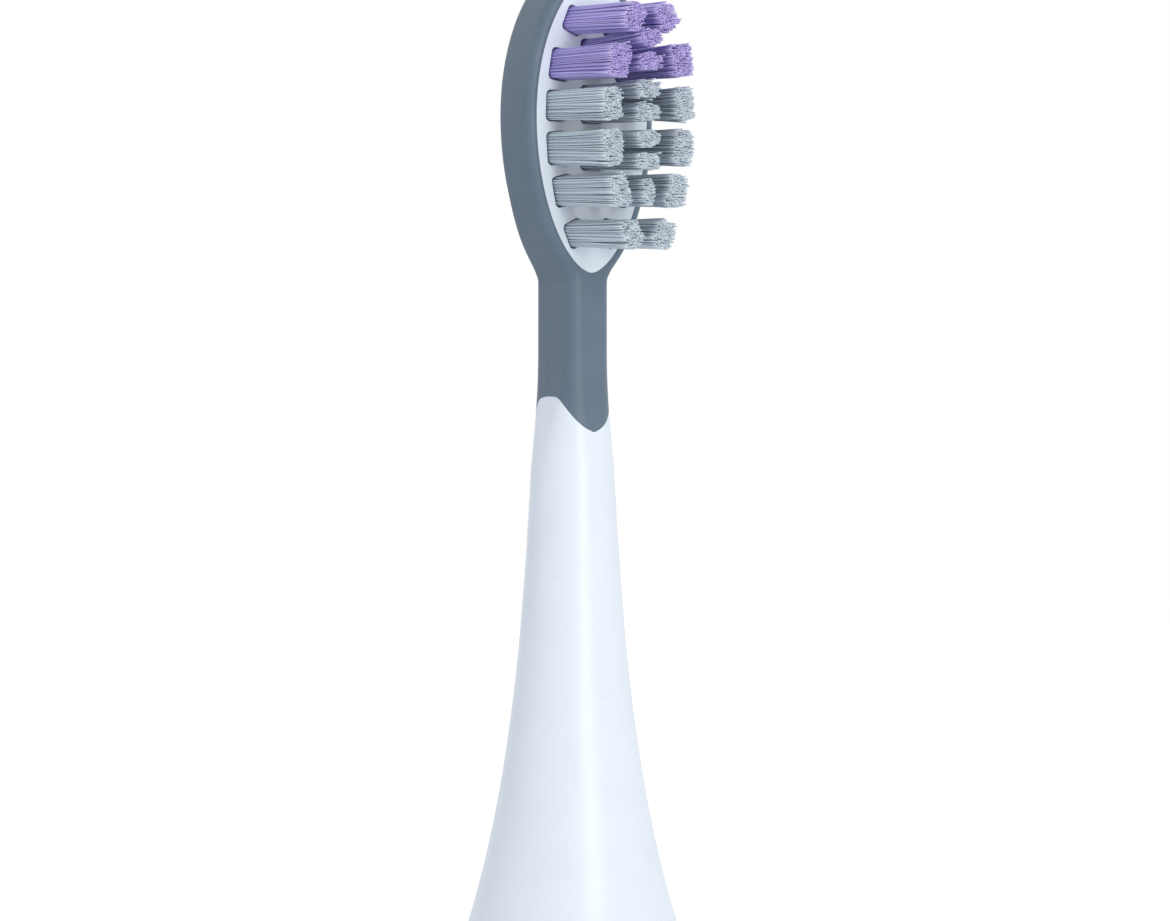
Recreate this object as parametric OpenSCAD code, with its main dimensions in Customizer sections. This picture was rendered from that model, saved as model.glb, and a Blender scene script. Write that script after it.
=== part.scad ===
// Replacement head for a sonic electric toothbrush, standing on its open base.
// +Z runs up the stem, the bristles point towards -Y, and X is the side-to-side direction.
// The origin is the middle of the base rim, on the axis of the drive shaft. All lengths are in millimetres.

/* [Cone] */
// Radius that the flared cone would shrink to far above the base
flare_floor_r = 2.8; // [2.4:0.1:3]
// How much wider than that the cone is at its base
flare_r = 7.6; // [6.5:0.1:8.5]
// Height in which the flare shrinks to about a third
flare_height = 22.3; // [20:0.1:24]
// Wall of the hollow part of the cone
cone_wall = 1.4; // [1:0.1:1.8]
// Rounding of the base rim
rim_round = 0.5; // [0.2:0.1:0.6]
// Height of the hollow above the base
hollow_height = 24; // [20:0.5:26]

/* [Neck] */
// Width of the neck, side to side
neck_w = 4.6; // [4:0.1:5]
// Depth of the neck, front to back
neck_d = 6.3; // [5.8:0.1:6.8]
// Corner radius of the neck
neck_corner = 1.3; // [0.8:0.1:1.6]
// Height at which the round cone starts to turn into the neck
neck_blend_z = 43; // [40:0.5:45]
// Height at which the neck has its own section
neck_z = 55; // [53:0.5:57]
// Height at which the neck starts to widen into the head
head_z = 61; // [60:0.5:62]

/* [Head] */
// Height of the widest point of the oval head
oval_z = 76.8; // [76:0.1:77.5]
// Half the width of the white bristle plate
plate_half_w = 6.23; // [5.8:0.01:6.6]
// From the widest point to the top of the plate
plate_up = 12.9; // [12.5:0.1:13.3]
// From the widest point to the bottom of the plate
plate_down = 14.6; // [14.4:0.1:14.8]
// Width of the soft rim around the plate
rim_w = 1.0; // [0.8:0.05:1.2]
// Thickness of the head at its middle, plate to back
head_t = 5.6; // [5.3:0.1:6]
// Thickness of the hard plate inside the head
plate_t = 4.1; // [3.8:0.1:4.2]
// How far the back edge of the head is rounded, along its width
back_round_w = 2.6; // [1.5:0.1:3]
// How far the back edge of the head is rounded, along its thickness
back_round_t = 1.4; // [1:0.1:1.8]

/* [Soft skin] */
// Height of the white peak on each side of the neck
wave_peak_z = 50.8; // [50:0.1:51.5]
// How far the skin's front tongue reaches below the peak
front_tongue = 3.3; // [2:0.1:4]
// How far the skin's back tongue reaches below the peak
back_tongue = 5.3; // [3:0.1:5.5]
// Width of the hard core inside the neck
core_w = 2.8; // [2:0.1:3.2]
// Depth of the hard core inside the neck
core_d = 4.5; // [3.5:0.1:4.8]

/* [Bristles] */
// Length of the grey bristles in front of the plate
grey_len = 9.4; // [8:0.1:10.5]
// Length of the purple bristles in front of the plate
purple_len = 9.8; // [8:0.1:11]
// Depth of the tuft holes in the plate
hole_depth = 3.0; // [2.5:0.1:3.2]
// How much wider a tuft is at its tips than at the plate
tip_spread = 1.14; // [1:0.01:1.16]
// Thickness of the flat wire that anchors a tuft
anchor_t = 0.25; // [0.2:0.05:0.3]
// How far an anchor bites into the plate on each side of its hole
anchor_bite = 0.2; // [0.1:0.05:0.25]

/* [Drive] */
// Radius of the hole for the handle's drive shaft
shaft_r = 1.95; // [1.5:0.05:2.1]
// Depth of the round part of the shaft hole
shaft_hole_depth = 9; // [6:0.5:10]
// Depth of the D-shaped part above it
shaft_key_depth = 8; // [6:0.5:9]
// Outer radius of the shaft socket
socket_r = 3.05; // [2.9:0.05:3.2]
// Height of the socket's mouth above the base, which leaves room for the nose of the handle
socket_z = 5; // [3:0.1:5.5]
// Thickness of the retaining spring's strip
spring_t = 0.25; // [0.2:0.05:0.3]
// Width of the retaining spring's strip
spring_w = 1.5; // [1.2:0.1:1.7]

/* [Hidden] */
$fn = 64;
white = [0.90, 0.93, 0.98];
soft_grey = [0.42, 0.47, 0.54];
steel = [0.75, 0.76, 0.78];
socket_ivory = [0.86, 0.85, 0.80];
bristle_grey = [0.72, 0.77, 0.82];
bristle_purple = [0.66, 0.60, 0.86];

// Face of the plate and back of the neck, which share one distance from the axis
face_y = neck_d / 2;
back_y = head_t - face_y;

// Cone
cone_steps = 24;
boss_r = 3.9;
boss_z = socket_z + 1;
boss_bore_top = boss_z + 20.8;
rib_t = 0.9;
rib_z = boss_z + 1.5;
rib_count = 4;

// D-shaped part of the shaft hole: its radius and the distance of its flat from the axis
key_r = shaft_r - 0.25;
key_flat = 1.3;
// Distance of the retaining spring's outer face from the axis, and its height above the round hole
spring_y = 2.55;
spring_lift = 0.4;

// Loft around the neck and head: points to a corner, points along a flat
corner_points = 9;
flat_points = 2;
side_points = corner_points + flat_points;
ring_points = 4 * side_points;
land_w = 0.12;
land_sharp = 0.6;
outline_sharp = 0.56;
join_flat = 0.02;
join_margin = 0.012;
core_top_z = 63.9;
cap_scale = 0.3;

// Blend of the neck into the head, as heights above head_z: where the neck's own width fades out,
// and where the front corners, the back corners and the back face have the head's own form
neck_fade_low = 3;
neck_fade_high = 13;
corner_blend = 5;
back_blend = 9;
// Softness of the corner where the neck's side meets the oval, and the height in which it sets in
blend_soft = 0.9;
blend_start = 1.2;
// Soft rim below the plate, rounding of the back at its top, and reach of the flat back
// below the widest point
rim_low = 0.85;
back_round_up = 1.8;
back_flat_down = 13.2;

// Outer tufts on each side, one row to a line from the top down:
// height, distance from the middle, lean of the long side, width, length, and how far the tips lean up
outer_rows = [
    [85.55, 1.95, 24, 2.2, 2.5, 0.25],
    [81.45, 3.55, 10, 2.3, 3.0, 0.35],
    [77.65, 4.05, 2, 2.2, 2.9, 0.15],
    [73.75, 3.95, -4, 2.2, 3.1, -0.05],
    [69.80, 3.20, -12, 2.2, 2.9, -0.05],
    [65.85, 1.85, -24, 2.1, 2.5, -0.15],
];
// Middle tufts from the top down: height, width, length, and how far the tips lean up
middle_rows = [
    [83.10, 2.5, 1.5, 0.85],
    [80.95, 2.6, 1.5, 0.75],
    [78.80, 2.6, 1.5, 0.35],
    [76.75, 2.6, 1.5, 0.25],
    [74.55, 2.6, 1.5, 0],
    [72.45, 2.6, 1.5, 0],
    [69.60, 1.4, 2.4, 0],
];
// Rows above this height are purple
purple_z = 80;
// Gap between a tuft and the wall of its hole
tuft_gap = 0.03;
tuft_corner = 0.75;
hole_corner = 0.45;
flute_depth = 0.06;
tuft_points = 36;
anchor_h = 1.3;
anchor_lift = 0.35;

function mix(a, b, t) = a + (b - a) * t;
function ramp(z, low, high) =
    let (t = min(1, max(0, (z - low) / (high - low))))
    t * t * (3 - 2 * t);
function smooth_max(a, b, soft) = (a + b + sqrt((a - b) * (a - b) + soft * soft)) / 2;
function cone_r(z) = flare_floor_r + flare_r * exp(-z / flare_height);

// Half width of a pointed oval around oval_z at the height z
function oval_w(z, half_w, up, down, sharp) =
    let (u = abs(z - oval_z) / (z > oval_z ? up : down))
    u >= 1 ? 0 : half_w * pow(1 - u * u, sharp);

// How far along a quarter round has risen at the height z, from 0 below its start to 1 at its end
function quarter_rise(z, start, size) =
    let (u = min(1, max(0, (z - start) / size)))
    1 - sqrt(1 - u * u);

// Section of the outer form at the height z:
// half width, front, back, half width of the front flat and the back flat, front and back corner depth
function section(z) =
    let (
        turn = ramp(z, neck_blend_z, neck_z),
        r = cone_r(z),
        corner = mix(r - join_flat, neck_corner, turn),
        half_w = mix(r, neck_w / 2, turn),
        half_d = mix(r, face_y, turn)
    )
    z <= head_z ? [
        half_w,
        -half_d,
        half_d,
        half_w - corner,
        half_w - corner,
        corner,
        corner,
    ] : head_section(z);

function head_section(z) =
    let (
        fade = 1 - ramp(z, head_z + neck_fade_low, head_z + neck_fade_high),
        soft = blend_soft * fade * ramp(z, head_z, head_z + blend_start),
        neck_flat = (neck_w / 2 - neck_corner) * fade,
        outer = oval_w(z, plate_half_w + rim_w, plate_up + rim_w, plate_down + rim_low, outline_sharp),
        land = oval_w(z, plate_half_w + land_w, plate_up + land_w, plate_down + land_w, land_sharp),
        back_flat_up = plate_up + rim_w - back_round_up,
        back_flat_w = plate_half_w + rim_w - back_round_w,
        back_flat = oval_w(z, back_flat_w, back_flat_up, back_flat_down, outline_sharp),
        land_top = oval_z + plate_up + land_w,
        front_depth = mix(neck_corner, rim_w, ramp(z, head_z, head_z + corner_blend)),
        back_depth = mix(neck_corner, back_round_t, ramp(z, head_z, head_z + corner_blend)),
        front_rise = front_depth * quarter_rise(z, land_top, rim_w - land_w),
        back_fall = back_depth * quarter_rise(z, oval_z + back_flat_up, back_round_up)
    )
    [
        smooth_max(neck_w / 2 * fade, outer, soft),
        -face_y + front_rise,
        mix(face_y, back_y, ramp(z, head_z, head_z + back_blend)) - back_fall,
        smooth_max(neck_flat, land, soft / 2),
        smooth_max(neck_flat, back_flat, soft / 2),
        front_depth - front_rise,
        back_depth - back_fall,
    ];

// Point of the rounded corner on the given side, at a share of its quarter turn
function corner_point(s, side, share) =
    let (
        back = side < 2,
        x_sign = side == 0 || side == 3 ? 1 : -1,
        flat = back ? s[4] : s[3],
        depth = back ? s[6] : s[5],
        centre_y = back ? s[2] - depth : s[1] + depth,
        angle = 90 * (side + share)
    )
    [x_sign * flat + (s[0] - flat) * cos(angle), centre_y + depth * sin(angle)];

// Point k of the section s, counted round from +X towards the back
function section_point(s, k) =
    let (
        side = floor(k / side_points),
        step = k - side * side_points,
        along_flat = (step - corner_points + 1) / (flat_points + 1)
    )
    step < corner_points
        ? corner_point(s, side, step / (corner_points - 1))
        : mix(corner_point(s, side, 1), corner_point(s, (side + 1) % 4, 0), along_flat);

function flat_ring(z) =
    let (s = section(z))
    [for (k = [0:ring_points - 1]) concat(section_point(s, k), [z])];

// Height of the edge between the white neck and the soft skin, at point k of the section
function wave_z(k) =
    let (
        p = section_point(section(wave_peak_z - front_tongue / 2), k),
        rise = abs(p[1]) / norm(p)
    )
    wave_peak_z - (p[1] < 0 ? front_tongue : back_tongue) * pow(rise, 3);

// Ring that lies the share t of the way from the height z to the wave edge
function wave_ring(z, t) = [
    for (k = [0:ring_points - 1])
        let (height = mix(z, wave_z(k), t))
        concat(section_point(section(height), k), [height])
];

function shrunk(ring, scale) = [for (p = ring) [p[0] * scale, p[1] * scale, p[2]]];
function middle(ring) = [for (i = [0:2]) [for (p = ring) p[i]] * [for (p = ring) 1 / len(ring)]];

// Closed solid through a list of rings with the same number of points, from the lowest to the highest.
// The lowest band can take its other diagonals, to lie flush on the top band of the loft below.
module loft(rings, flip_lowest = false) {
    n = len(rings[0]);
    last = (len(rings) - 1) * n;
    top = len(rings) * n;
    polyhedron(
        points = concat(
            [for (ring = rings) each ring],
            [middle(rings[len(rings) - 1]), middle(rings[0])]
        ),
        faces = concat(
            [for (r = [0:len(rings) - 2], k = [0:n - 1])
                let (flip = flip_lowest && r == 0 ? 0 : 1)
                [r * n + k, (r + 1) * n + k, (r + flip) * n + (k + 1) % n]],
            [for (r = [0:len(rings) - 2], k = [0:n - 1])
                let (flip = flip_lowest && r == 0 ? 1 : 0)
                [(r + flip) * n + k, (r + 1) * n + (k + 1) % n, r * n + (k + 1) % n]],
            [for (k = [0:n - 1]) [last + (k + 1) % n, last + k, top]],
            [for (k = [0:n - 1]) [k, (k + 1) % n, top + 1]]
        )
    );
}

// Flared cone with its hollow, turned in one piece
module cone_shell() {
    step = neck_blend_z / cone_steps;
    wall = cone_wall;
    rotate_extrude()
        polygon(concat(
            [[cone_r(0) - wall, 0]],
            [for (angle = [-90:30:0])
                let (z = rim_round * (1 + sin(angle)))
                [cone_r(z) - rim_round * (1 - cos(angle)), z]],
            [for (i = [1:cone_steps]) [cone_r(i * step), i * step]],
            [[0, neck_blend_z], [0, hollow_height + 1]],
            [for (i = [12:-1:1]) [cone_r(i * hollow_height / 12) - wall, i * hollow_height / 12]]
        ));
}

// Boss that holds the shaft socket, with ribs to the cone
module boss() {
    rib_top = hollow_height + 1;
    steps = 8;
    translate([0, 0, boss_z])
        cylinder(r = boss_r, h = rib_top - boss_z);
    intersection() {
        for (i = [0:rib_count - 1])
            rotate([0, 0, 45 + i * 360 / rib_count])
                translate([0, -rib_t / 2, rib_z])
                    cube([cone_r(rib_z), rib_t, rib_top - rib_z]);
        rotate_extrude()
            polygon(concat(
                [[0, rib_z]],
                [for (i = [0:steps])
                    let (z = mix(rib_z, rib_top, i / steps))
                    [cone_r(z) - cone_wall / 2, z]],
                [[0, rib_top]]
            ));
    }
}

// Hole in the boss for the shaft socket, a little deeper than the socket is long
module socket_seat() {
    translate([0, 0, boss_z - 1])
        cylinder(r = socket_r, h = boss_bore_top - boss_z + 1.2);
}

// Straight core under the soft skin of the neck
module neck_core() {
    translate([0, 0, neck_blend_z + 0.6])
        linear_extrude(core_top_z - neck_blend_z - 0.6)
            polygon(rounded_outline(core_w, core_d, 0.8, 6));
}

function rounded_outline(w, h, r, n) = [
    for (side = [0:3], i = [0:n - 1])
        let (angle = 90 * side + 90 * i / (n - 1))
        [
            (side == 0 || side == 3 ? 1 : -1) * (w / 2 - r) + r * cos(angle),
            (side < 2 ? 1 : -1) * (h / 2 - r) + r * sin(angle),
        ]
];

// Draws its children, made in the plane of the plate, from the front at y_front back to y_back
module through_plate(y_front, y_back) {
    translate([0, y_back, 0])
        rotate([90, 0, 0])
            linear_extrude(y_back - y_front)
                children();
}

module plate_outline() {
    n = 30;
    polygon([
        for (i = [0:2 * n - 1])
            let (
                angle = 180 * i / n - 90,
                side = i <= n ? 1 : -1,
                bend = i <= n ? angle : 180 - angle
            )
            [
                side * plate_half_w * pow(max(0, cos(bend)), 2 * land_sharp),
                oval_z + (bend > 0 ? plate_up : plate_down) * sin(bend),
            ]
    ]);
}

// Every tuft as height, x, turn, width, length, lean
outer_tufts = [
    for (row = outer_rows, side = [-1, 1])
        [row[0], side * row[1], side * row[2], row[3], row[4], row[5]]
];
middle_tufts = [for (row = middle_rows) [row[0], 0, 0, row[1], row[2], row[3]]];

module tuft_hole(t) {
    through_plate(-face_y - 1, -face_y + hole_depth)
        translate([t[1], t[0]])
            rotate(t[2])
                polygon(rounded_outline(t[3], t[4], hole_corner, 4));
}

module anchor(t) {
    top = -face_y + hole_depth - anchor_lift;
    through_plate(top - anchor_h, top)
        translate([t[1], t[0]])
            rotate(t[2])
                square([t[3] + 2 * anchor_bite, anchor_t], center = true);
}

module bristle_plate() {
    difference() {
        through_plate(-face_y, -face_y + plate_t)
            plate_outline();
        for (t = concat(outer_tufts, middle_tufts)) {
            tuft_hole(t);
            anchor(t);
        }
    }
}

module head_body() {
    color(white) {
        difference() {
            union() {
                cone_shell();
                boss();
            }
            socket_seat();
        }
        white_neck();
        neck_core();
        bristle_plate();
    }
}

// White end of the neck, up to the wave edge of the soft skin
module white_neck() {
    steps = 8;
    edge = wave_ring(neck_blend_z, 1);
    start = flat_ring(neck_blend_z);
    margin = 1 + join_margin / cone_r(neck_blend_z);
    loft(concat(
        [shrunk(start, margin)],
        [for (i = [1:steps]) wave_ring(neck_blend_z, i / steps)],
        [shrunk(edge, cap_scale)]
    ));
}

// Soft skin around the neck, the sides and the back of the head
module soft_skin() {
    wave_steps = 6;
    edge = wave_ring(neck_z, 1);
    ring_gap = 0.45;
    turn_low = -44;
    turn_high = 88.5;
    turn_steps = 19;
    color(soft_grey)
        difference() {
            loft(concat(
                [shrunk(edge, cap_scale), edge],
                [for (i = [1:wave_steps]) wave_ring(neck_z, 1 - i / wave_steps)],
                [for (z = [neck_z + 3, head_z - 0.3]) flat_ring(z)],
                [for (z = [head_z + 0.2:ring_gap:head_z + 4.8]) flat_ring(z)],
                [for (i = [0:turn_steps])
                    let (angle = mix(turn_low, turn_high, i / turn_steps))
                    flat_ring(oval_z + sin(angle) * (angle > 0 ? plate_up + rim_w : plate_down + rim_low))]
            ), flip_lowest = true);
            neck_core();
            through_plate(-face_y - 1, -face_y + plate_t)
                plate_outline();
        }
}

// Hard socket that takes the handle's drive shaft, pressed into the boss
module shaft_socket() {
    key_z = socket_z + shaft_hole_depth;
    lead_in = 0.4;
    color(socket_ivory)
        difference() {
            union() {
                translate([0, 0, socket_z])
                    cylinder(r = boss_r, h = boss_z - socket_z);
                translate([0, 0, socket_z])
                    cylinder(r = socket_r, h = boss_bore_top - socket_z);
            }
            translate([0, 0, socket_z - 1])
                cylinder(r = shaft_r, h = shaft_hole_depth + 1);
            translate([0, 0, socket_z])
                cylinder(r1 = shaft_r + lead_in, r2 = shaft_r, h = lead_in);
            intersection() {
                translate([0, 0, key_z - 1])
                    cylinder(r = key_r, h = shaft_key_depth + 1);
                translate([-key_r - 1, -key_r - 1, key_z - 1])
                    cube([2 * key_r + 2, key_r + 1 + key_flat, shaft_key_depth + 1]);
            }
            spring_slot(key_z);
        }
}

// Slot behind the shaft's flat, open at the top of the socket, where the spring slides in
module spring_slot(key_z) {
    slot_gap = 0.05;
    translate([-spring_w / 2 - slot_gap, 1, key_z + spring_lift])
        cube([spring_w + 2 * slot_gap, spring_y - 1, boss_bore_top - key_z]);
}

// Bowed steel strip that presses on the flat of the shaft
module socket_spring() {
    low = socket_z + shaft_hole_depth + spring_lift;
    high = boss_bore_top;
    bow = 1.05;
    steps = 16;
    spine = [
        for (i = [0:steps])
            [mix(low, high, i / steps), spring_y - bow * (1 - cos(360 * i / steps)) / 2]
    ];
    color(steel)
        translate([spring_w / 2, 0, 0])
            rotate([0, -90, 0])
                linear_extrude(spring_w)
                    polygon(concat(
                        spine,
                        [for (i = [steps:-1:0]) spine[i] - [0, spring_t]]
                    ));
}

module tuft_anchors() {
    color(steel)
        for (t = concat(outer_tufts, middle_tufts))
            anchor(t);
}

// Point at the share s of the way round a rounded rectangle
function outline_point(w, h, r, s) =
    let (
        flat_w = w - 2 * r,
        flat_h = h - 2 * r,
        arc = PI * r / 2,
        quarter = [flat_h / 2, arc, flat_w / 2],
        whole = flat_h / 2 + arc + flat_w / 2,
        side = floor(4 * s) % 4,
        along = (4 * s - floor(4 * s)) * whole,
        mirrored = side % 2 == 1,
        d = mirrored ? whole - along : along,
        angle = 90 * (d - quarter[0]) / arc,
        p = d < quarter[0] ? [w / 2, d]
            : d < quarter[0] + arc ? [flat_w / 2 + r * cos(angle), flat_h / 2 + r * sin(angle)]
            : [flat_w / 2 - (d - quarter[0] - arc), h / 2]
    )
    [p[0] * (side == 1 || side == 2 ? -1 : 1), p[1] * (side > 1 ? -1 : 1)];

// Fluted outline of a bundle of filaments, at a share of its width and shifted up by lean
function bundle_ring(w, h, grow, lean, y, ragged) = [
    for (k = [0:tuft_points - 1])
        let (
            corner = min(tuft_corner, w / 2 - 0.05, h / 2 - 0.05),
            inset = tuft_gap + (k % 2) * flute_depth,
            p = outline_point(w - 2 * inset, h - 2 * inset, corner, (k + 0.5) / tuft_points)
        )
        [p[0] * grow, p[1] * grow + lean, y - ragged * ((k % 3) - 1)]
];

// Bundle of bristles from the bottom of its hole to its ragged tips, folded round its anchor
module tuft(t) {
    purple = t[0] > purple_z;
    len = purple ? purple_len : grey_len;
    crown = 0.25;
    ragged = 0.1;
    color(purple ? bristle_purple : bristle_grey)
        difference() {
            translate([t[1], -face_y, t[0]])
                rotate([0, -t[2], 0])
                    rotate([90, 0, 0])
                        loft([
                            bundle_ring(t[3], t[4], 1, 0, -hole_depth, 0),
                            bundle_ring(t[3], t[4], 1, 0, 0, 0),
                            bundle_ring(t[3], t[4], tip_spread, t[5], len - crown, ragged),
                            bundle_ring(t[3], t[4], 0.6 * tip_spread, t[5], len, ragged),
                        ]);
            anchor(t);
        }
}

head_body();
soft_skin();
shaft_socket();
socket_spring();
tuft_anchors();
for (i = [0:len(outer_rows) - 1]) {
    tuft(outer_tufts[2 * i]);
    tuft(outer_tufts[2 * i + 1]);
}
for (i = [0:len(middle_rows) - 1])
    tuft(middle_tufts[i]);
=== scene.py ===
import math

import bmesh
import bpy
import numpy as np
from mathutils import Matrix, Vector
from mathutils.geometry import delaunay_2d_cdt


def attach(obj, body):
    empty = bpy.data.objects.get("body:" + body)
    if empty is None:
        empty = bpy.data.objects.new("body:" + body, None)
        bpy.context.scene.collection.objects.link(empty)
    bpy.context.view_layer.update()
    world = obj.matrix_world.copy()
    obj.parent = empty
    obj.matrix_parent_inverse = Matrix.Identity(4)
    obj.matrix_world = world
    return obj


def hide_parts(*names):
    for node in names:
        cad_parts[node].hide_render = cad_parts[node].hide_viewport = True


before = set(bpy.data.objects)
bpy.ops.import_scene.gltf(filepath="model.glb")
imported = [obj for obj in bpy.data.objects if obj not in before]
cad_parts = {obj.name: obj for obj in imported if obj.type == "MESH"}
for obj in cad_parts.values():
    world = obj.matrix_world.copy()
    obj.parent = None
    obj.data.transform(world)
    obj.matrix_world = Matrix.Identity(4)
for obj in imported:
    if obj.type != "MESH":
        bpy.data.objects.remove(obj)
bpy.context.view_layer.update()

# All shapes below are in millimetres, in the part's own frame, and become metres when a mesh is made.
MM = 0.001

# Form of the part, as in its source
FLARE_FLOOR, FLARE_R, FLARE_H = 2.8, 7.6, 22.3
CONE_WALL, RIM_ROUND = 1.4, 0.5
NECK_W, NECK_D, NECK_CORNER = 4.6, 6.3, 1.3
BLEND_Z, NECK_Z, HEAD_Z = 43.0, 55.0, 61.0
OVAL_Z, PLATE_W, PLATE_UP, PLATE_DOWN = 76.8, 6.23, 12.9, 14.6
RIM_W, RIM_LOW, HEAD_T, PLATE_T = 1.0, 0.85, 5.6, 4.1
LAND_W, LAND_SHARP, OUTLINE_SHARP = 0.12, 0.6, 0.56
PEAK_Z, FRONT_TONGUE, BACK_TONGUE = 50.8, 3.3, 5.3
CORE_W, CORE_D = 2.8, 4.5
FACE_Y = NECK_D / 2
BACK_Y = HEAD_T - FACE_Y
LAND_TOP = OVAL_Z + PLATE_UP + LAND_W
TOP_Z = OVAL_Z + PLATE_UP + RIM_W
BOSS_R, BOSS_Z, SOCKET_R, SEAT_TOP = 3.9, 6.0, 3.05, 27.0

# Tufts: height, distance from the middle, turn in degrees, width, length, lean of the tips
OUTER = [
    (85.55, 1.95, 24, 2.2, 2.5, 0.25),
    (81.45, 3.55, 10, 2.3, 3.0, 0.35),
    (77.65, 4.05, 2, 2.2, 2.9, 0.15),
    (73.75, 3.95, -4, 2.2, 3.1, -0.05),
    (69.80, 3.20, -12, 2.2, 2.9, -0.05),
    (65.85, 1.85, -24, 2.1, 2.5, -0.15),
]
MIDDLE = [
    (83.10, 0, 0, 2.5, 1.5, 0.85),
    (80.95, 0, 0, 2.6, 1.5, 0.75),
    (78.80, 0, 0, 2.6, 1.5, 0.35),
    (76.75, 0, 0, 2.6, 1.5, 0.25),
    (74.55, 0, 0, 2.6, 1.5, 0.0),
    (72.45, 0, 0, 2.6, 1.5, 0.0),
    (69.60, 0, 0, 1.4, 2.4, 0.0),
]
PURPLE_Z = 80
GREY_LEN, PURPLE_LEN = 9.4, 9.8
HOLE_DEPTH = 3.0

TUFTS = {}
for number, (z, x, turn, w, h, lean) in enumerate(OUTER, 1):
    TUFTS[f"left_{number}"] = (z, -x, -turn, w, h, lean)
    TUFTS[f"right_{number}"] = (z, x, turn, w, h, lean)
for number, row in enumerate(MIDDLE, 1):
    TUFTS[f"middle_{number}"] = row

# Points round a section: CORNER to a corner, FLAT along a flat
CORNER, FLAT = 24, 5
SIDE = CORNER + FLAT
RING = 4 * SIDE
FRONT_LEFT, FRONT_RIGHT = 2 * SIDE + CORNER - 1, 3 * SIDE


def mix(a, b, t):
    return a + (b - a) * t


def ramp(z, low, high):
    t = min(1.0, max(0.0, (z - low) / (high - low)))
    return t * t * (3 - 2 * t)


def smooth_max(a, b, soft):
    return (a + b + math.sqrt((a - b) ** 2 + soft * soft)) / 2


def cone_r(z):
    return FLARE_FLOOR + FLARE_R * math.exp(-z / FLARE_H)


def oval_w(z, half_w, up, down, sharp):
    u = abs(z - OVAL_Z) / (up if z > OVAL_Z else down)
    return 0.0 if u >= 1 else half_w * (1 - u * u) ** sharp


def quarter_rise(z, start, size):
    u = min(1.0, max(0.0, (z - start) / size))
    return 1 - math.sqrt(1 - u * u)


def section(z):
    """Half width, front, back, front and back flat, front and back corner depth at a height."""
    if z > HEAD_Z:
        return head_section(z)
    turn = ramp(z, BLEND_Z, NECK_Z)
    r = cone_r(z)
    corner = mix(r - 0.02, NECK_CORNER, turn)
    half_w = mix(r, NECK_W / 2, turn)
    half_d = mix(r, FACE_Y, turn)
    return half_w, -half_d, half_d, half_w - corner, half_w - corner, corner, corner


def head_section(z):
    fade = 1 - ramp(z, HEAD_Z + 3, HEAD_Z + 13)
    soft = 0.9 * fade * ramp(z, HEAD_Z, HEAD_Z + 1.2)
    neck_flat = (NECK_W / 2 - NECK_CORNER) * fade
    outer = oval_w(z, PLATE_W + RIM_W, PLATE_UP + RIM_W, PLATE_DOWN + RIM_LOW, OUTLINE_SHARP)
    land = oval_w(z, PLATE_W + LAND_W, PLATE_UP + LAND_W, PLATE_DOWN + LAND_W, LAND_SHARP)
    back_up = PLATE_UP + RIM_W - 1.8
    back_flat = oval_w(z, PLATE_W + RIM_W - 2.6, back_up, 13.2, OUTLINE_SHARP)
    front_depth = mix(NECK_CORNER, RIM_W, ramp(z, HEAD_Z, HEAD_Z + 5))
    back_depth = mix(NECK_CORNER, 1.4, ramp(z, HEAD_Z, HEAD_Z + 5))
    front_rise = front_depth * quarter_rise(z, LAND_TOP, RIM_W - LAND_W)
    back_fall = back_depth * quarter_rise(z, OVAL_Z + back_up, 1.8)
    return (
        smooth_max(NECK_W / 2 * fade, outer, soft),
        -FACE_Y + front_rise,
        mix(FACE_Y, BACK_Y, ramp(z, HEAD_Z, HEAD_Z + 9)) - back_fall,
        smooth_max(neck_flat, land, soft / 2),
        smooth_max(neck_flat, back_flat, soft / 2),
        front_depth - front_rise,
        back_depth - back_fall,
    )


def corner_point(s, side, share):
    back = side < 2
    x_sign = 1 if side in (0, 3) else -1
    flat, depth = (s[4], s[6]) if back else (s[3], s[5])
    centre_y = s[2] - depth if back else s[1] + depth
    angle = math.radians(90 * (side + share))
    return x_sign * flat + (s[0] - flat) * math.cos(angle), centre_y + depth * math.sin(angle)


def section_point(s, k):
    side, step = divmod(k, SIDE)
    if step < CORNER:
        return corner_point(s, side, step / (CORNER - 1))
    a, b = corner_point(s, side, 1), corner_point(s, (side + 1) % 4, 0)
    t = (step - CORNER + 1) / (FLAT + 1)
    return mix(a[0], b[0], t), mix(a[1], b[1], t)


def flat_ring(z):
    s = section(z)
    return [(*section_point(s, k), z) for k in range(RING)]


WAVE = []
_s = section(PEAK_Z - FRONT_TONGUE / 2)
for k in range(RING):
    x, y = section_point(_s, k)
    tongue = FRONT_TONGUE if y < 0 else BACK_TONGUE
    WAVE.append(PEAK_Z - tongue * (abs(y) / math.hypot(x, y)) ** 3)


def wave_ring(z, t, inset=0.0, lift=0.0):
    """Ring at the share t of the way from the height z to the wave edge, pulled in and lifted."""
    ring = []
    for k in range(RING):
        height = mix(z, WAVE[k], t)
        x, y = section_point(section(height), k)
        keep = 1 - inset / math.hypot(x, y)
        ring.append((x * keep, y * keep, height + lift))
    return ring


def round_ring(r, z):
    c = r - min(0.02, r / 2)
    s = (r, -r, r, r - c, r - c, c, c)
    return [(*section_point(s, k), z) for k in range(RING)]


def core_ring(z, grow=0.0):
    w, d = CORE_W / 2 + grow, CORE_D / 2 + grow
    s = (w, -d, d, w - 0.8, w - 0.8, 0.8, 0.8)
    return [(*section_point(s, k), z) for k in range(RING)]


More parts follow.
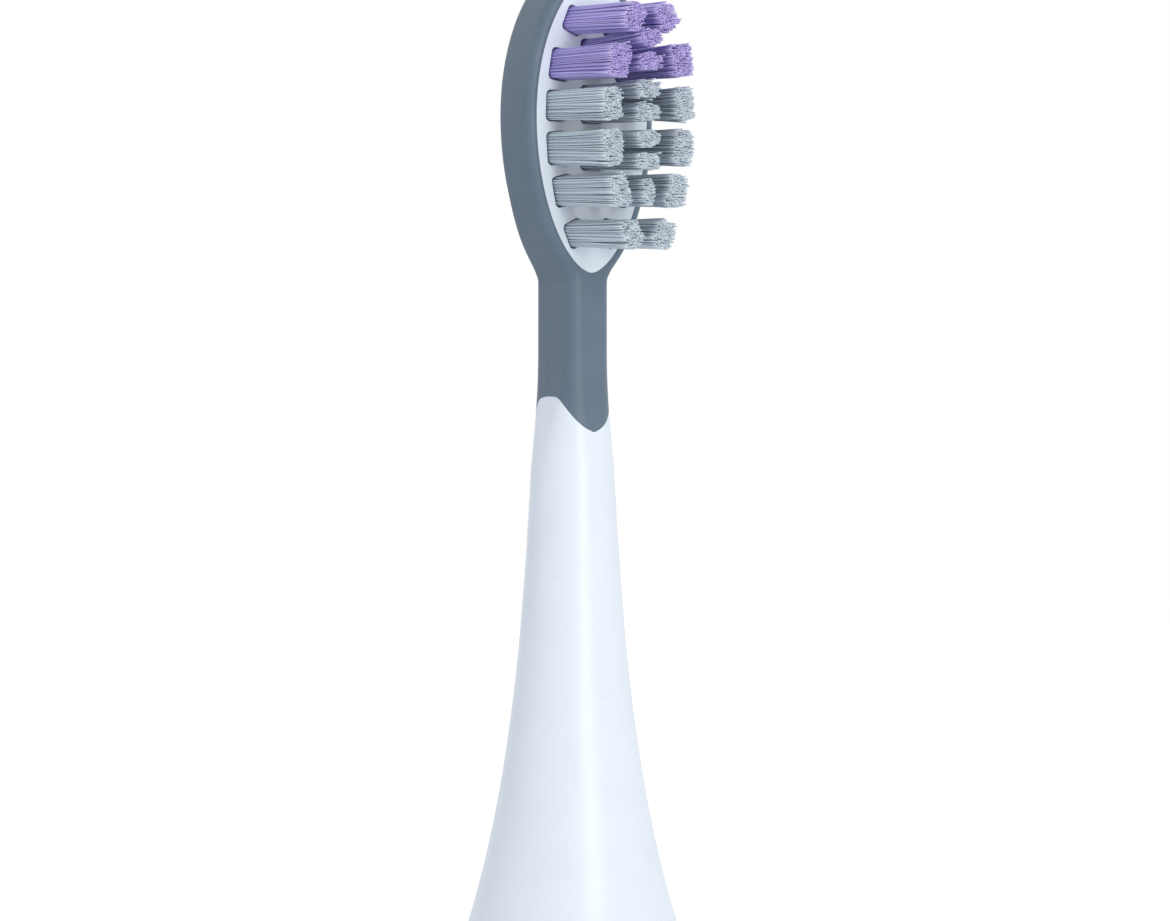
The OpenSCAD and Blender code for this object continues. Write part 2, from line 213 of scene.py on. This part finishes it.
class Shell:
    """Points and faces of one piece, gathered before they become a mesh."""

    def __init__(self):
        self.points = []
        self.faces = []
        self.flat = []

    def ring(self, points):
        start = len(self.points)
        self.points.extend(points)
        return list(range(start, start + len(points)))

    def face(self, ids, flat=False):
        self.faces.append(ids)
        self.flat.append(flat)

    def band(self, a, b, skip=()):
        n = len(a)
        for k in range(n):
            if k not in skip:
                j = (k + 1) % n
                self.face((a[k], a[j], b[j], b[k]))

    def loft(self, rings, cap_low=False, cap_high=False):
        ids = [self.ring(r) for r in rings]
        for a, b in zip(ids, ids[1:]):
            self.band(a, b)
        if cap_low:
            self.fan(ids[0][::-1])
        if cap_high:
            self.fan(ids[-1])
        return ids

    def fan(self, ring):
        points = np.array([self.points[i] for i in ring])
        centre = self.ring([tuple(points.mean(axis=0))])[0]
        for k in range(len(ring)):
            self.face((ring[k], ring[(k + 1) % len(ring)], centre))

    def fill(self, loops):
        """Flat face inside the first loop and outside the others, all in one plane that faces the front."""
        coords, edges, ids = [], [], []
        for loop in loops:
            start = len(coords)
            for i, p in enumerate(loop):
                coords.append(Vector((self.points[p][0], self.points[p][2])))
                edges.append((start + i, start + (i + 1) % len(loop)))
                ids.append(p)
        found, _, faces, origin, _, _ = delaunay_2d_cdt(coords, edges, [], 0, 1e-5)
        y = self.points[ids[0]][1]
        names = []
        for place, sources in zip(found, origin):
            names.append(ids[sources[0]] if sources else self.ring([(place.x, y, place.y)])[0])
        borders = [np.array([[self.points[p][0], self.points[p][2]] for p in loop]) for loop in loops]
        for f in faces:
            middle = sum((found[i] for i in f), Vector((0, 0))) / len(f)
            if inside(middle, borders[0]) and not any(inside(middle, b) for b in borders[1:]):
                self.face(tuple(names[i] for i in f), flat=True)

    def make(self, name, material, node, slot):
        mesh = bpy.data.meshes.new(name)
        mesh.from_pydata([(x * MM, y * MM, z * MM) for x, y, z in self.points], [], self.faces)
        mesh.polygons.foreach_set("material_index", [int(f) for f in self.flat])
        bm = bmesh.new()
        bm.from_mesh(mesh)
        bmesh.ops.remove_doubles(bm, verts=bm.verts, dist=4e-7)
        bmesh.ops.dissolve_degenerate(bm, dist=1e-8, edges=bm.edges)
        bmesh.ops.recalc_face_normals(bm, faces=bm.faces)
        for e in bm.edges:
            kinds = {f.material_index for f in e.link_faces}
            e.smooth = len(kinds) < 2 and e.calc_face_angle(0) < math.radians(50)
        for f in bm.faces:
            f.smooth = True
            f.material_index = 0
        bm.to_mesh(mesh)
        bm.free()
        return place(name, mesh, material, node, slot)


def inside(point, border):
    x, y = point
    x1, y1 = border[:, 0], border[:, 1]
    x2, y2 = np.roll(x1, -1), np.roll(y1, -1)
    cross = (y1 > y) != (y2 > y)
    with np.errstate(divide="ignore", invalid="ignore"):
        at = (x2 - x1) * (y - y1) / (y2 - y1) + x1
    return bool(np.count_nonzero(cross & (x < at)) % 2)


def place(name, mesh, material, node, slot):
    obj = bpy.data.objects.new(name, mesh)
    bpy.context.scene.collection.objects.link(obj)
    mesh.materials.clear()
    mesh.materials.append(material)
    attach(obj, "root")
    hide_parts(node)
    return obj


def offset_loop(points, distance):
    """A closed counter-clockwise loop in the plane of the plate, moved outwards."""
    p = np.array(points)
    along = np.roll(p, -1, axis=0) - np.roll(p, 1, axis=0)
    out = np.stack([along[:, 1], -along[:, 0]], axis=1)
    out /= np.linalg.norm(out, axis=1)[:, None]
    return p + distance * out


def plate_loop(distance, depth):
    n = 90
    loop = []
    for i in range(2 * n):
        angle = 180 * i / n - 90
        side, bend = (1, angle) if i <= n else (-1, 180 - angle)
        c, s = max(0.0, math.cos(math.radians(bend))), math.sin(math.radians(bend))
        loop.append((side * PLATE_W * c ** (2 * LAND_SHARP), OVAL_Z + (PLATE_UP if bend > 0 else PLATE_DOWN) * s))
    return [(x, -FACE_Y + depth, z) for x, z in offset_loop(loop, distance)]


def tuft_frame(t, u, v):
    """Place on the plate of the point u across and v along a tuft."""
    turn = math.radians(t[2])
    return t[1] + u * math.cos(turn) - v * math.sin(turn), t[0] + u * math.sin(turn) + v * math.cos(turn)


def hole_loop(t, distance, depth):
    r = 0.45 + distance
    loop = []
    for side in range(4):
        for i in range(8):
            angle = math.radians(90 * side + 90 * i / 7)
            u = (1 if side in (0, 3) else -1) * (t[3] / 2 - 0.45) + r * math.cos(angle)
            v = (1 if side < 2 else -1) * (t[4] / 2 - 0.45) + r * math.sin(angle)
            x, z = tuft_frame(t, u, v)
            loop.append((x, -FACE_Y + depth, z))
    return loop


# Materials


class Nodes:
    """A small node tree builder."""

    def __init__(self, name):
        self.material = bpy.data.materials.new(name)
        self.material.use_nodes = True
        self.tree = self.material.node_tree
        self.tree.nodes.clear()
        self.shader = self.add("ShaderNodeBsdfPrincipled")
        output = self.add("ShaderNodeOutputMaterial")
        self.link(self.shader.outputs["BSDF"], output.inputs["Surface"])
        self.coord = self.add("ShaderNodeTexCoord").outputs["Object"]

    def add(self, kind, **settings):
        node = self.tree.nodes.new(kind)
        for key, value in settings.items():
            setattr(node, key, value)
        return node

    def link(self, a, b):
        self.tree.links.new(a, b)

    def noise(self, scale, detail=3.0, roughness=0.5, stretch=None):
        source = self.coord
        if stretch:
            mapping = self.add("ShaderNodeMapping")
            mapping.inputs["Scale"].default_value = stretch
            self.link(source, mapping.inputs["Vector"])
            source = mapping.outputs["Vector"]
        node = self.add("ShaderNodeTexNoise")
        node.inputs["Scale"].default_value = scale
        node.inputs["Detail"].default_value = detail
        node.inputs["Roughness"].default_value = roughness
        self.link(source, node.inputs["Vector"])
        return node.outputs["Fac"]

    def ramp(self, value, stops):
        node = self.add("ShaderNodeValToRGB")
        self.link(value, node.inputs["Fac"])
        elements = node.color_ramp.elements
        while len(elements) < len(stops):
            elements.new(0.5)
        for element, (position, colour) in zip(elements, stops):
            element.position = position
            element.color = (*colour, 1)
        return node.outputs["Color"]

    def range(self, value, low, high, to_low, to_high):
        node = self.add("ShaderNodeMapRange")
        self.link(value, node.inputs["Value"])
        for key, number in (("From Min", low), ("From Max", high), ("To Min", to_low), ("To Max", to_high)):
            node.inputs[key].default_value = number
        return node.outputs["Result"]

    def blend(self, kind, factor, a, b):
        node = self.add("ShaderNodeMix", data_type="RGBA", blend_type=kind)
        for value, socket in ((factor, node.inputs[0]), (a, node.inputs[6]), (b, node.inputs[7])):
            if hasattr(value, "is_linked"):
                self.link(value, socket)
            else:
                socket.default_value = value
        return node.outputs[2]

    def bump(self, height, strength, distance):
        node = self.add("ShaderNodeBump")
        node.inputs["Strength"].default_value = strength
        node.inputs["Distance"].default_value = distance
        self.link(height, node.inputs["Height"])
        self.link(node.outputs["Normal"], self.shader.inputs["Normal"])

    def set(self, **values):
        for key, value in values.items():
            socket = self.shader.inputs[key.replace("_", " ")]
            if hasattr(value, "is_linked"):
                self.link(value, socket)
            else:
                socket.default_value = value


def white_plastic():
    n = Nodes("white_plastic")
    broad = n.noise(180, 2)
    n.set(
        Base_Color=n.ramp(broad, [(0.3, (0.765, 0.825, 0.900)), (0.7, (0.785, 0.845, 0.920))]),
        Roughness=n.range(n.noise(900, 3), 0.3, 0.7, 0.27, 0.37),
        IOR=1.47,
    )
    n.bump(n.noise(5200, 3, 0.6), 0.12, 0.00002)
    return n.material


def soft_grey():
    n = Nodes("soft_grey")
    broad = n.noise(260, 3)
    n.set(
        Base_Color=n.ramp(broad, [(0.3, (0.103, 0.148, 0.202)), (0.7, (0.116, 0.163, 0.219))]),
        Roughness=n.range(n.noise(1500, 3), 0.3, 0.7, 0.44, 0.54),
        IOR=1.5,
        Sheen_Weight=0.08,
        Sheen_Roughness=0.5,
    )
    n.bump(n.noise(11000, 3, 0.6), 0.35, 0.000012)
    return n.material


def nylon(name, root, body, painted_tip_light, dark):
    n = Nodes(name)
    along = n.add("ShaderNodeAttribute", attribute_name="along").outputs["Fac"]
    tone = n.add("ShaderNodeAttribute", attribute_name="tone").outputs["Fac"]
    # Painted light along each filament: darker towards the root as painted shade down among the tufts, lighter at
    # the tip as a painted highlight on the tip ends; the streak tone per filament is random.
    length = n.ramp(along, [(0.0, root), (0.25, body), (0.86, body), (0.97, painted_tip_light)])
    streak = n.ramp(tone, [(0.0, dark), (0.35, (0.9, 0.9, 0.9)), (1.0, (1.08, 1.08, 1.08))])
    n.set(
        Base_Color=n.blend("MULTIPLY", 1.0, length, streak),
        Roughness=n.range(tone, 0, 1, 0.32, 0.45),
        IOR=1.53,
    )
    n.bump(n.noise(9000, 2, 0.5, stretch=(1, 0.06, 1)), 0.15, 0.00001)
    return n.material


def socket_plastic():
    n = Nodes("socket_plastic")
    n.set(
        Base_Color=n.ramp(n.noise(700, 3), [(0.3, (0.66, 0.64, 0.56)), (0.7, (0.70, 0.68, 0.60))]),
        Roughness=n.range(n.noise(1800, 3), 0.3, 0.7, 0.36, 0.46),
        IOR=1.49,
    )
    n.bump(n.noise(6000, 3), 0.15, 0.00002)
    return n.material


def steel():
    n = Nodes("steel")
    brushed = n.noise(4000, 4, 0.6, stretch=(1, 1, 0.04))
    n.set(
        Base_Color=n.ramp(brushed, [(0.25, (0.46, 0.47, 0.49)), (0.75, (0.62, 0.63, 0.65))]),
        Metallic=1.0,
        Roughness=n.range(brushed, 0.3, 0.7, 0.22, 0.38),
    )
    n.bump(brushed, 0.12, 0.00001)
    return n.material


WHITE = white_plastic()
GREY = soft_grey()
# Nylon colours: root darker as painted shade, body, tip lighter as painted highlight, then the darkest random
# filament tone.
NYLON_GREY = nylon("bristle_grey", (0.56, 0.64, 0.72), (0.64, 0.72, 0.80), (0.80, 0.87, 0.93), (0.80, 0.81, 0.83))
NYLON_PURPLE = nylon(
    "bristle_purple", (0.44, 0.37, 0.80), (0.52, 0.45, 0.88), (0.70, 0.60, 0.96), (0.78, 0.76, 0.86)
)


# Head body: cone, hollow, boss and neck core as one closed surface, then the plate and the ribs


def head_body():
    shell = Shell()
    rings = [core_ring(62.0), core_ring(52.5)]
    rings.append(wave_ring(BLEND_Z, 1, inset=0.9, lift=0.1))
    rings.append(wave_ring(BLEND_Z, 1, inset=0.05, lift=0.0))
    rings.append(wave_ring(BLEND_Z, 1, inset=0.0, lift=-0.03))
    for i in range(1, 19):
        rings.append(wave_ring(BLEND_Z, 1 - (0.006 + 0.994 * i / 18)))
    steps = 64
    for i in range(1, steps + 1):
        rings.append(flat_ring(mix(BLEND_Z, RIM_ROUND, i / steps)))
    for i in range(1, 9):
        a = math.radians(90 * i / 8)
        z = RIM_ROUND * (1 - math.sin(a))
        rings.append(round_ring(cone_r(z) - RIM_ROUND * (1 - math.cos(a)), z))
    inner = cone_r(0) - CONE_WALL
    edge = 0.2
    for i in range(0, 6):
        a = math.radians(90 * i / 5)
        rings.append(round_ring(inner + edge * (1 - math.sin(a)), edge * (1 - math.cos(a))))
    hollow_top = 22.6
    for i in range(1, 25):
        z = mix(edge, hollow_top, i / 24)
        rings.append(round_ring(cone_r(z) - CONE_WALL, z))
    rings.append(round_ring(BOSS_R + 0.1, hollow_top + 0.1))
    rings.append(round_ring(BOSS_R, hollow_top))
    for z in (18.0, 14.0, 10.0, BOSS_Z + 0.15):
        rings.append(round_ring(BOSS_R, z))
    rings.append(round_ring(BOSS_R - 0.15, BOSS_Z))
    rings.append(round_ring(SOCKET_R + 0.1, BOSS_Z))
    rings.append(round_ring(SOCKET_R, BOSS_Z + 0.1))
    for z in (10.0, 16.0, 22.0, SEAT_TOP - 0.05):
        rings.append(round_ring(SOCKET_R, z))
    rings.append(round_ring(SOCKET_R - 0.05, SEAT_TOP))
    shell.loft(rings, cap_low=True, cap_high=True)
    for i in range(4):
        rib(shell, math.radians(45 + 90 * i))
    plate(shell)
    return shell.make("head_body_fine", WHITE, "head_body", "white_plastic")


def rib(shell, angle):
    """Rib from the boss to the cone, with its lower edge chamfered."""
    low, high, half_t, bevel = 7.5, 22.7, 0.45, 0.15
    rings = []
    for z, cut in ((low, bevel), (low + bevel, 0.0), (12.0, 0.0), (17.0, 0.0), (high, 0.0)):
        ring = []
        for r, side in ((3.6, -1), (cone_r(z) - 0.7, -1), (cone_r(z) - 0.7, 1), (3.6, 1)):
            t = side * (half_t - cut)
            ring.append((r * math.cos(angle) - t * math.sin(angle), r * math.sin(angle) + t * math.cos(angle), z))
        rings.append(ring)
    shell.loft(rings, cap_low=True, cap_high=True)


def plate(shell):
    edge = [(-0.05, 0.0), (-0.02, 0.02), (-0.008, 0.08), (-0.008, PLATE_T)]
    ids = [shell.ring(plate_loop(d, depth)) for d, depth in edge]
    for a, b in zip(ids, ids[1:]):
        shell.band(a, b)
    shell.fill([ids[-1]])
    loops = [ids[0]]
    for t in TUFTS.values():
        wall = [shell.ring(hole_loop(t, d, depth)) for d, depth in ((0.05, 0.0), (0.015, 0.02), (0.0, 0.06), (0.0, HOLE_DEPTH))]
        for a, b in zip(wall, wall[1:]):
            shell.band(a, b)
        shell.face(tuple(wall[-1]))
        loops.append(wall[0])
    shell.fill(loops)


# Soft skin: one loft from the wave edge to the top, with a flat front round the plate


def soft_skin():
    shell = Shell()
    low = [core_ring(62.05, 0.01), core_ring(52.5, 0.01)]
    low.append(wave_ring(NECK_Z, 1, inset=0.9, lift=0.11))
    low.append(wave_ring(NECK_Z, 1, inset=0.05, lift=0.01))
    low.append(wave_ring(NECK_Z, 1, inset=0.0, lift=0.04))
    for i in range(1, 15):
        low.append(wave_ring(NECK_Z, 1 - (0.01 + 0.99 * i / 14)))
    for i in range(1, 9):
        low.append(flat_ring(mix(NECK_Z, HEAD_Z, i / 8)))
    ids = shell.loft(low, cap_low=True)
    heights = [HEAD_Z + 0.15 * i for i in range(1, 41)]
    start = math.degrees(math.asin((heights[-1] - OVAL_Z) / (PLATE_DOWN + RIM_LOW)))
    steps = 70
    for i in range(1, steps):
        a = mix(start, 0, i / steps)
        heights.append(OVAL_Z + (PLATE_DOWN + RIM_LOW) * math.sin(math.radians(a)))
    heights.append(OVAL_Z)
    land_angle = math.degrees(math.asin((LAND_TOP - OVAL_Z) / (PLATE_UP + RIM_W)))
    for i in range(1, 46):
        heights.append(OVAL_Z + (PLATE_UP + RIM_W) * math.sin(math.radians(mix(0, land_angle, i / 45))))
    flat_end = len(heights)
    for i in range(1, 25):
        heights.append(OVAL_Z + (PLATE_UP + RIM_W) * math.sin(math.radians(mix(land_angle, 89.7, i / 24))))
    front = set(range(FRONT_LEFT, FRONT_RIGHT))
    last = ids[-1]
    left, right = [last[FRONT_LEFT]], [last[FRONT_RIGHT]]
    bottom = last[FRONT_LEFT : FRONT_RIGHT + 1]
    for i, z in enumerate(heights):
        ring = shell.ring(flat_ring(z))
        shell.band(last, ring, front if i < flat_end else ())
        if i < flat_end:
            left.append(ring[FRONT_LEFT])
            right.append(ring[FRONT_RIGHT])
        last = ring
    shell.fan(last)
    border = bottom[:-1] + right[:-1] + left[:0:-1]
    edge = [(0.045, 0.0), (0.012, 0.02), (0.004, 0.08), (0.004, PLATE_T)]
    wall = [shell.ring(plate_loop(d, depth)) for d, depth in edge]
    for a, b in zip(wall, wall[1:]):
        shell.band(a, b)
    shell.fill([wall[-1]])
    shell.fill([border, wall[0]])
    for side in (-1, 1):
        parting_line(shell, side)
    return shell.make("soft_skin_fine", GREY, "soft_skin", "soft_grey")


def parting_line(shell, side):
    """Fine raised line where the halves of the mould meet, fading out up the neck."""
    rings = []
    for i in range(13):
        z = mix(50.95, 59.0, i / 12)
        half_w = section(z)[0]
        height = 0.03 * (1 - i / 12) + 0.002
        rings.append([
            (side * (half_w - 0.05), 0.44, z),
            (side * (half_w + height), 0.49, z),
            (side * (half_w + height), 0.51, z),
            (side * (half_w - 0.05), 0.56, z),
        ])
    shell.loft(rings, cap_low=True, cap_high=True)


# Tufts: every filament is a tapering hexagonal tube with a rounded tip

FILAMENT_R = 0.082
PITCH = 0.182
FILAMENT_SIDES = 6


def tuft(name, t, seed):
    purple = t[0] > PURPLE_Z
    length = PURPLE_LEN if purple else GREY_LEN
    rng = np.random.default_rng(seed)
    half_w, half_h, corner = t[3] / 2 - 0.03 - FILAMENT_R, t[4] / 2 - 0.03 - FILAMENT_R, 0.6
    spots = []
    rows = int(half_h / (PITCH * 0.866)) + 1
    columns = int(half_w / PITCH) + 2
    for j in range(-rows, rows + 1):
        for i in range(-columns, columns + 1):
            u = (i + 0.5 * (j % 2)) * PITCH
            v = j * PITCH * 0.866
            cu, cv = abs(u) - (half_w - corner), abs(v) - (half_h - corner)
            if abs(u) <= half_w and abs(v) <= half_h and (cu < 0 or cv < 0 or math.hypot(cu, cv) < corner):
                spots.append((u, v))
    spots = np.array(spots)
    n = len(spots)
    spots += rng.normal(0, 0.012, (n, 2))
    u0, v0 = spots[:, 0], spots[:, 1]
    spread = rng.normal(1.13, 0.015, n)
    phase = rng.uniform(0, 6.28, 4)
    clump_u = 0.07 * np.sin(5.1 * u0 + 2.3 * v0 + phase[0]) + 0.05 * np.sin(9.0 * v0 + phase[1])
    clump_v = 0.07 * np.sin(4.7 * v0 - 2.9 * u0 + phase[2]) + 0.05 * np.sin(8.0 * u0 + phase[3])
    bend_u = clump_u + rng.normal(0, 0.035, n)
    bend_v = clump_v + rng.normal(0, 0.035, n)
    outward = np.hypot(u0 / half_w, v0 / half_h)
    stray = (outward > 0.75) & (rng.random(n) < 0.05)
    bend_u += np.where(stray, np.sign(u0) * rng.uniform(0.1, 0.3, n), 0)
    bend_v += np.where(stray, np.sign(v0) * rng.uniform(0.1, 0.35, n), 0)
    reach = length - 0.16 * np.clip(outward, 0, 1) ** 4 + rng.normal(0, 0.05, n) - 0.04
    reach = np.minimum(reach, length + 0.08)
    levels = [-2.85, -1.25, 0.0, 0.25, 0.5, 0.72, 0.88]
    centres, sizes, along = [], [], []
    for level in levels:
        depth = np.full(n, level) if level <= 0 else level * reach
        s = np.clip(depth / length, 0, None)
        u = u0 * (1 + (spread - 1) * s) + bend_u * s**2
        v = v0 * (1 + (spread - 1) * s) + bend_v * s**2 + t[5] * s**1.05
        if level < 0:
            away = 0.21 / half_h
            v = np.sign(v0 + 1e-6) * (0.21 + np.abs(v0) * (1 - away))
        centres.append((u, v, depth))
        sizes.append(FILAMENT_R)
        along.append(s)
    s = reach / length
    u = u0 * (1 + (spread - 1) * s) + bend_u * s**2
    v = v0 * (1 + (spread - 1) * s) + bend_v * s**2 + t[5] * s**1.05
    for back, size in ((0.075, 1.0), (0.025, 0.75), (0.0, 0.3)):
        centres.append((u, v, reach - back))
        sizes.append(FILAMENT_R * size)
        along.append(np.ones(n) * s)
    m = len(centres)
    around = np.arange(FILAMENT_SIDES) * 2 * math.pi / FILAMENT_SIDES
    turn = rng.uniform(0, 2 * math.pi, n)
    grid = np.zeros((n, m, FILAMENT_SIDES, 3))
    share = np.zeros((n, m, FILAMENT_SIDES))
    cos_t, sin_t = math.cos(math.radians(t[2])), math.sin(math.radians(t[2]))
    for i, ((u, v, depth), size, a) in enumerate(zip(centres, sizes, along)):
        pu = u[:, None] + size * np.cos(around[None, :] + turn[:, None])
        pv = v[:, None] + size * np.sin(around[None, :] + turn[:, None])
        grid[:, i, :, 0] = t[1] + pu * cos_t - pv * sin_t
        grid[:, i, :, 1] = -FACE_Y - depth[:, None]
        grid[:, i, :, 2] = t[0] + pu * sin_t + pv * cos_t
        share[:, i, :] = a[:, None]
    points = grid.reshape(-1, 3) * MM
    k = np.arange(FILAMENT_SIDES)
    j = (k + 1) % FILAMENT_SIDES
    faces = []
    for f in range(n):
        base = f * m * FILAMENT_SIDES
        for r in range(m - 1):
            a, b = base + r * FILAMENT_SIDES, base + (r + 1) * FILAMENT_SIDES
            faces.extend(np.stack([a + k, b + k, b + j, a + j], axis=1).tolist())
        top = base + (m - 1) * FILAMENT_SIDES
        faces.append([top + i for i in range(FILAMENT_SIDES)])
        faces.append([base + i for i in range(FILAMENT_SIDES)][::-1])
    mesh = bpy.data.meshes.new(f"{name}_filaments")
    mesh.from_pydata(points.tolist(), [], faces)
    mesh.polygons.foreach_set("use_smooth", [True] * len(mesh.polygons))
    tone = np.repeat(rng.random(n), m * FILAMENT_SIDES)
    for key, values in (("along", share.reshape(-1)), ("tone", tone)):
        attribute = mesh.attributes.new(key, "FLOAT", "POINT")
        attribute.data.foreach_set("value", values.astype(np.float32))
    material = NYLON_PURPLE if purple else NYLON_GREY
    return place(f"{name}_filaments", mesh, material, name, "bristle_purple" if purple else "bristle_grey")


head_body()
soft_skin()
for seed, (name, row) in enumerate(TUFTS.items()):
    tuft(f"tuft_{name}", row, 100 + seed)

# Pieces kept from the part, with their finishes
for node, finish in (("shaft_socket", socket_plastic()), ("socket_spring", steel()), ("tuft_anchors", None)):
    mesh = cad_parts[node].data
    finish = finish or bpy.data.materials["steel"]
    mesh.materials.clear()
    mesh.materials.append(finish)


# Floor, light and camera


def stage_floor():
    n = Nodes("floor")
    n.set(Base_Color=(0.9, 0.92, 0.95, 1), Roughness=0.6)
    tree = n.tree
    path = n.add("ShaderNodeLightPath")
    glow = n.add("ShaderNodeEmission")
    glow.inputs["Color"].default_value = (1, 1, 1, 1)
    share = n.add("ShaderNodeMath", operation="MULTIPLY")
    share.inputs[1].default_value = 0.5
    n.link(path.outputs["Is Camera Ray"], share.inputs[0])
    n.link(share.outputs[0], glow.inputs["Strength"])
    blend = n.add("ShaderNodeAddShader")
    n.link(n.shader.outputs["BSDF"], blend.inputs[0])
    n.link(glow.outputs["Emission"], blend.inputs[1])
    output = next(x for x in tree.nodes if x.type == "OUTPUT_MATERIAL")
    n.link(blend.outputs["Shader"], output.inputs["Surface"])
    mesh = bpy.data.meshes.new("floor")
    size = 4.0
    mesh.from_pydata([(-size, -size, 0), (size, -size, 0), (size, size, 0), (-size, size, 0)], [], [(0, 1, 2, 3)])
    mesh.materials.append(n.material)
    obj = bpy.data.objects.new("floor", mesh)
    bpy.context.scene.collection.objects.link(obj)


def studio_world():
    world = bpy.data.worlds.new("studio")
    bpy.context.scene.world = world
    world.use_nodes = True
    tree = world.node_tree
    tree.nodes.clear()
    output = tree.nodes.new("ShaderNodeOutputWorld")
    soft = tree.nodes.new("ShaderNodeBackground")
    soft.inputs["Color"].default_value = (0.94, 0.97, 1.0, 1)
    soft.inputs["Strength"].default_value = 0.74
    white = tree.nodes.new("ShaderNodeBackground")
    white.inputs["Color"].default_value = (1, 1, 1, 1)
    white.inputs["Strength"].default_value = 1.0
    path = tree.nodes.new("ShaderNodeLightPath")
    either = tree.nodes.new("ShaderNodeMath")
    either.operation = "MAXIMUM"
    tree.links.new(path.outputs["Is Camera Ray"], either.inputs[0])
    tree.links.new(path.outputs["Is Glossy Ray"], either.inputs[1])
    also = tree.nodes.new("ShaderNodeMath")
    also.operation = "MAXIMUM"
    tree.links.new(either.outputs[0], also.inputs[0])
    tree.links.new(path.outputs["Is Transmission Ray"], also.inputs[1])
    blend = tree.nodes.new("ShaderNodeMixShader")
    tree.links.new(also.outputs[0], blend.inputs[0])
    tree.links.new(soft.outputs["Background"], blend.inputs[1])
    tree.links.new(white.outputs["Background"], blend.inputs[2])
    tree.links.new(blend.outputs["Shader"], output.inputs["Surface"])


# Camera: the photograph looks at the part from 35 degrees to the left of its front, level with its middle
CAMERA_AZIMUTH = math.radians(-35)
BACK = Vector((math.sin(CAMERA_AZIMUTH), -math.cos(CAMERA_AZIMUTH), 0))
RIGHT = Vector((math.cos(CAMERA_AZIMUTH), math.sin(CAMERA_AZIMUTH), 0))
MIDDLE_POINT = Vector((0.948, -0.664, 44.86)) * MM
DISTANCE = 2.5
PIXELS_PER_MM = 10.8


def lamp(name, bearing, height, distance, width, tall, power, colour):
    """Soft box at a bearing round the part from the camera's own, positive to the right."""
    a, e = math.radians(bearing), math.radians(height)
    direction = (BACK * math.cos(a) + RIGHT * math.sin(a)) * math.cos(e) + Vector((0, 0, math.sin(e)))
    data = bpy.data.lights.new(name, "AREA")
    data.shape = "RECTANGLE"
    data.size, data.size_y = width, tall
    data.energy = power
    data.color = colour
    obj = bpy.data.objects.new(name, data)
    bpy.context.scene.collection.objects.link(obj)
    obj.location = Vector((0, 0, 0.05)) + direction * distance
    obj.rotation_mode = "QUATERNION"
    obj.rotation_quaternion = direction.to_track_quat("Z", "Y")


def camera():
    data = bpy.data.cameras.new("camera")
    data.sensor_width = 36
    data.lens = PIXELS_PER_MM * (DISTANCE / MM) * 36 / 1170
    data.clip_start, data.clip_end = 0.05, 20
    obj = bpy.data.objects.new("camera", data)
    bpy.context.scene.collection.objects.link(obj)
    obj.location = MIDDLE_POINT + BACK * DISTANCE
    obj.rotation_mode = "QUATERNION"
    obj.rotation_quaternion = (-BACK).to_track_quat("-Z", "Y")
    bpy.context.scene.camera = obj


stage_floor()
studio_world()
lamp("key", 28, 14, 0.9, 0.35, 0.7, 3.4, (1.0, 0.97, 0.92))
camera()
bpy.context.scene.view_settings.view_transform = "Standard"
